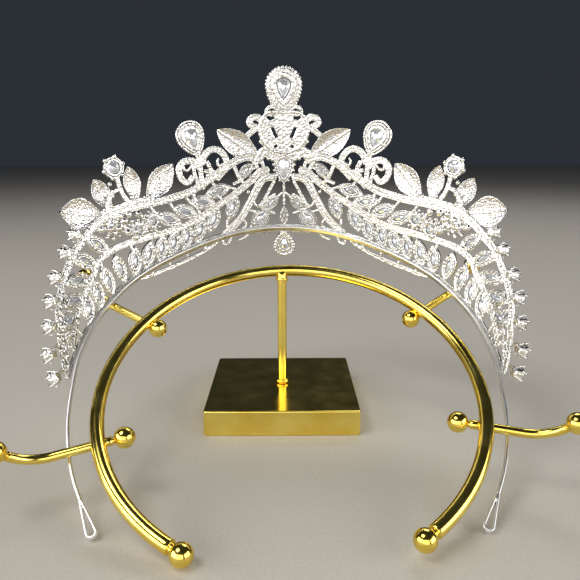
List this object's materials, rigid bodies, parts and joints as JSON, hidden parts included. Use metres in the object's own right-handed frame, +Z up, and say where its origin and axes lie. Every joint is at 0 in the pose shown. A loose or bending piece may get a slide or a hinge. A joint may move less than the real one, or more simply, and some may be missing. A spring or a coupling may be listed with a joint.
{
  "type": "diadem on display stand",
  "caption": "Openwork diadem of rails, scrolls, leaves and cut stones on a springy headband, resting on a square-footed stand with a sloping open ring and ball-ended claws.",
  "frame": {"origin": "middle of the foot plate's underside", "axes": "+Z up, +X to the right of the wearer's side shown in the picture, +Y away from the viewer, towards the diadem's front"},
  "size_m": [0.1798, 0.1377, 0.14],
  "materials": {
    "gold_plate": "polished gold-coloured plating",
    "silver_plate": "bright silver-coloured plating over a cast alloy",
    "crystal": "clear cut stones"
  },
  "bodies": {
    "root": {"stand_base": "gold_plate", "stand_frame": "gold_plate", "headband": "silver_plate", "openwork": "silver_plate", "leaf_centre_left": "silver_plate", "leaf_centre_right": "silver_plate", "leaf_wide_left": "silver_plate", "leaf_wide_right": "silver_plate", "leaf_tall_left": "silver_plate", "leaf_tall_right": "silver_plate", "leaf_slim_left": "silver_plate", "leaf_slim_right": "silver_plate", "leaf_inner_left": "silver_plate", "leaf_inner_right": "silver_plate", "stone_crest": "crystal", "stone_peak_left": "crystal", "stone_peak_right": "crystal", "stone_centre": "crystal", "stone_drop": "crystal", "stone_lens_left": "crystal", "stone_lens_right": "crystal", "stone_round_left": "crystal", "stone_round_right": "crystal", "stones_lower_row": "crystal", "stones_upper_row": "crystal", "stones_tips": "crystal", "stones_accent": "crystal"}
  },
  "joints": []
}
